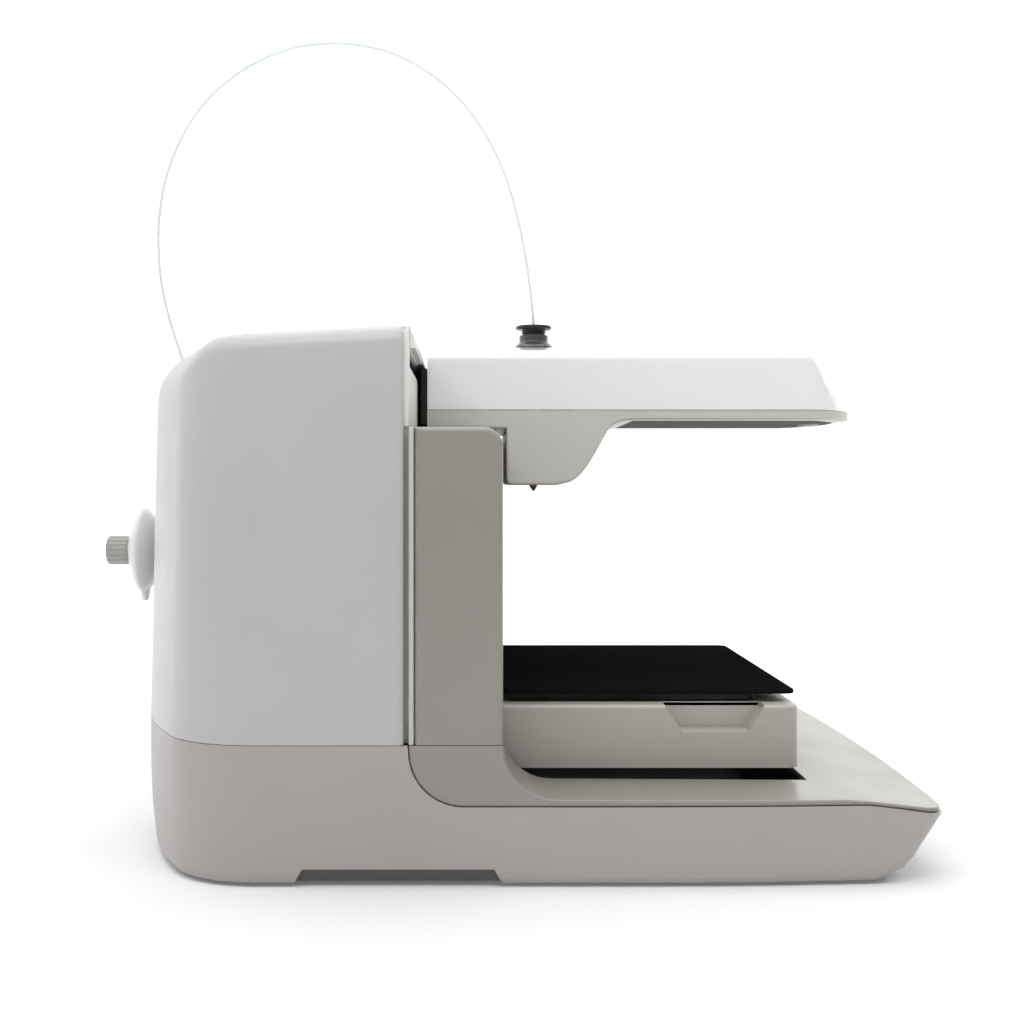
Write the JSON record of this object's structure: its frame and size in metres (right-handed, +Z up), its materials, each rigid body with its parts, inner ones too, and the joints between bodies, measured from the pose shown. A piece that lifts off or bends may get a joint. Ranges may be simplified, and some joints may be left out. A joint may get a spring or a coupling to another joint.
{
  "type": "fdm printer",
  "caption": "Desktop filament printer with a tall rear column, a sideways travelling cantilever arm with the print head, a lifting platform with a travelling bed, and a rear spool.",
  "frame": {"origin": "middle of the machine's footprint on the surface it stands on", "axes": "+X towards the front tip of the base, +Y to the far side, +Z up"},
  "size_m": [0.444, 0.33, 0.4484],
  "materials": {
    "shell_white": "satin",
    "base_grey": "satin",
    "panel_light": "satin",
    "liner_grey": "satin",
    "arm_gloss": "gloss",
    "arm_lower_grey": "satin",
    "black_plastic": "satin",
    "dark_grey_plastic": "matte",
    "rubber_black": "matte",
    "screw_steel": "brushed",
    "sheet_steel": "powder coat",
    "rod_steel": "ground",
    "motor_black": "satin",
    "belt_rubber": "matte",
    "pulley_aluminium": "machined",
    "bush_nylon": "satin",
    "guide_nylon": "satin",
    "filament_mint": "translucent",
    "winding_mint": "gloss",
    "board_green": "solder mask",
    "supply_zinc": "zinc",
    "socket_black": "satin",
    "rocker_red": "gloss",
    "screw_thread_steel": "rolled",
    "spool_black": "satin",
    "hub_white": "satin",
    "knob_grey": "satin",
    "frame_black": "powder coat",
    "bearing_steel": "ground",
    "nut_brass": "machined",
    "carrier_black": "powder coat",
    "plate_black": "fine grain",
    "underside_grey": "matte",
    "bracket_black": "powder coat",
    "sink_aluminium": "machined",
    "heater_aluminium": "heat stained",
    "nozzle_brass": "machined",
    "fan_black": "satin",
    "inlet_grey": "satin",
    "lamp_diffuser": "frosted",
    "gear_brass": "machined",
    "lever_blue": "satin",
    "spring_steel": "drawn",
    "button_black": "satin"
  },
  "bodies": {
    "frame": {"base_shell": "base_grey", "column_shell": "shell_white", "front_panel": "panel_light", "liner": "liner_grey", "recess_tub": "black_plastic", "bottom_cover": "dark_grey_plastic", "rubber_feet": "rubber_black", "case_screws": "screw_steel", "chassis": "sheet_steel", "z_rods": "rod_steel", "z_motors": "motor_black", "x_rods": "rod_steel", "x_motor": "motor_black", "x_belt": "belt_rubber", "spool_bushes": "bush_nylon", "filament_guide": "guide_nylon", "filament_feed": "filament_mint", "control_board": "board_green", "power_supply": "supply_zinc", "rear_sockets": "socket_black", "filament": "filament_mint"},
    "switch_rocker": {"power_rocker": "rocker_red"},
    "left_lift_screw": {"z_screw_left": "screw_thread_steel"},
    "right_lift_screw": {"z_screw_right": "screw_thread_steel"},
    "arm_drive_pulley": {"x_pulley": "pulley_aluminium"},
    "arm_end_pulley": {"x_idler": "pulley_aluminium"},
    "spool_hub": {"spool": "spool_black", "winding": "winding_mint", "hub_flange": "hub_white", "hub_knob": "knob_grey"},
    "platform": {"platform_cover": "liner_grey", "platform_frame": "frame_black", "z_bearings": "bearing_steel", "z_nuts": "nut_brass", "bed_rods": "rod_steel", "bed_motor": "motor_black", "bed_belt": "belt_rubber"},
    "bed_drive_pulley": {"bed_pulley": "pulley_aluminium"},
    "bed_end_pulley": {"bed_idler": "pulley_aluminium"},
    "bed": {"bed_carrier": "carrier_black", "bed_bearings": "bearing_steel"},
    "plate": {"build_plate": "plate_black"},
    "arm": {"arm_top_shell": "arm_gloss", "arm_lower_shell": "arm_lower_grey", "underside_cover": "underside_grey", "x_carriage": "bracket_black", "x_bearings": "bearing_steel", "extruder_motor": "motor_black", "heat_sink": "sink_aluminium", "heater_block": "heater_aluminium", "nozzle": "nozzle_brass", "fan_frame": "fan_black", "inlet_base": "inlet_grey", "arm_lamp": "lamp_diffuser", "lever_spring": "spring_steel"},
    "sink_fan": {"fan_rotor": "fan_black"},
    "gear": {"drive_gear": "gear_brass"},
    "lever": {"idler_lever": "lever_blue"},
    "lever_roller": {"idler_bearing": "bearing_steel"},
    "release_button": {"inlet_button": "button_black"}
  },
  "joints": [
    {"name": "platform_lift", "type": "slide", "parent": "frame", "child": "platform", "axis": [0, 0, 1], "range_m": [-0.038, 0.101]},
    {"name": "left_screw_spin", "type": "hinge", "parent": "frame", "child": "left_lift_screw", "pos_m": [-0.062, -0.136, 0.12], "axis": [0, 0, 1], "range_deg": [-1715, 4550]},
    {"name": "right_screw_spin", "type": "hinge", "parent": "frame", "child": "right_lift_screw", "pos_m": [-0.062, 0.136, 0.12], "axis": [0, 0, 1], "range_deg": [-1715, 4550]},
    {"name": "arm_travel", "type": "slide", "parent": "frame", "child": "arm", "axis": [0, 1, 0], "range_m": [-0.1, 0.1], "deforming": ["filament"]},
    {"name": "arm_pulley_spin", "type": "hinge", "parent": "frame", "child": "arm_drive_pulley", "pos_m": [-0.075, 0.133, 0.233], "axis": [0, 0, 1], "range_deg": [-905, 905]},
    {"name": "arm_idler_spin", "type": "hinge", "parent": "frame", "child": "arm_end_pulley", "pos_m": [-0.075, -0.133, 0.233], "axis": [0, 0, 1], "range_deg": [-905, 905]},
    {"name": "bed_travel", "type": "slide", "parent": "platform", "child": "bed", "axis": [1, 0, 0], "range_m": [-0.138, 0]},
    {"name": "bed_pulley_spin", "type": "hinge", "parent": "platform", "child": "bed_drive_pulley", "pos_m": [-0.082, 0, 0.07], "axis": [0, 0, 1], "range_deg": [-5, 1250]},
    {"name": "bed_idler_spin", "type": "hinge", "parent": "platform", "child": "bed_end_pulley", "pos_m": [0.139, 0, 0.07], "axis": [0, 0, 1], "range_deg": [-5, 1250]},
    {"name": "plate_release", "type": "slide", "parent": "bed", "child": "plate", "axis": [1, 0, 0], "range_m": [0, 0.16]},
    {"name": "spool_turn", "type": "hinge", "parent": "frame", "child": "spool_hub", "pos_m": [-0.158, 0, 0.1507], "axis": [1, 0, 0], "continuous": true},
    {"name": "power_switch", "type": "hinge", "parent": "frame", "child": "switch_rocker", "pos_m": [-0.1725, 0.034, 0.03], "axis": [0, 1, 0], "range_deg": [0, 16]},
    {"name": "gear_spin", "type": "hinge", "parent": "arm", "child": "gear", "pos_m": [0.03388, 0, 0.243], "axis": [0, 1, 0], "continuous": true},
    {"name": "lever_open", "type": "hinge", "parent": "arm", "child": "lever", "pos_m": [0.02123, -0.006, 0.23], "axis": [0, 1, 0], "range_deg": [-8, 0], "stiffness_Nm_per_rad": 0.5, "springref_deg": 17.19, "deforming": ["lever_spring"]},
    {"name": "roller_spin", "type": "hinge", "parent": "lever", "child": "lever_roller", "pos_m": [0.02123, 0, 0.243], "axis": [0, 1, 0], "continuous": true},
    {"name": "button_press", "type": "slide", "parent": "arm", "child": "release_button", "axis": [0, 0, 1], "range_m": [-0.003, 0], "stiffness_N_per_m": 600, "springref_m": 0.001},
    {"name": "fan_spin", "type": "hinge", "parent": "arm", "child": "sink_fan", "pos_m": [0.0445, 0, 0.2115], "axis": [1, 0, 0], "continuous": true}
  ],
  "couplings": [
    {"joint": "left_screw_spin", "follows": "platform_lift", "rad_per_m": 785.4},
    {"joint": "right_screw_spin", "follows": "platform_lift", "rad_per_m": 785.4},
    {"joint": "arm_pulley_spin", "follows": "arm_travel", "rad_per_m": 156.99},
    {"joint": "arm_idler_spin", "follows": "arm_travel", "rad_per_m": 156.99},
    {"joint": "bed_pulley_spin", "follows": "bed_travel", "rad_per_m": -156.99},
    {"joint": "bed_idler_spin", "follows": "bed_travel", "rad_per_m": -156.99},
    {"joint": "roller_spin", "follows": "gear_spin", "ratio": -1.1}
  ]
}
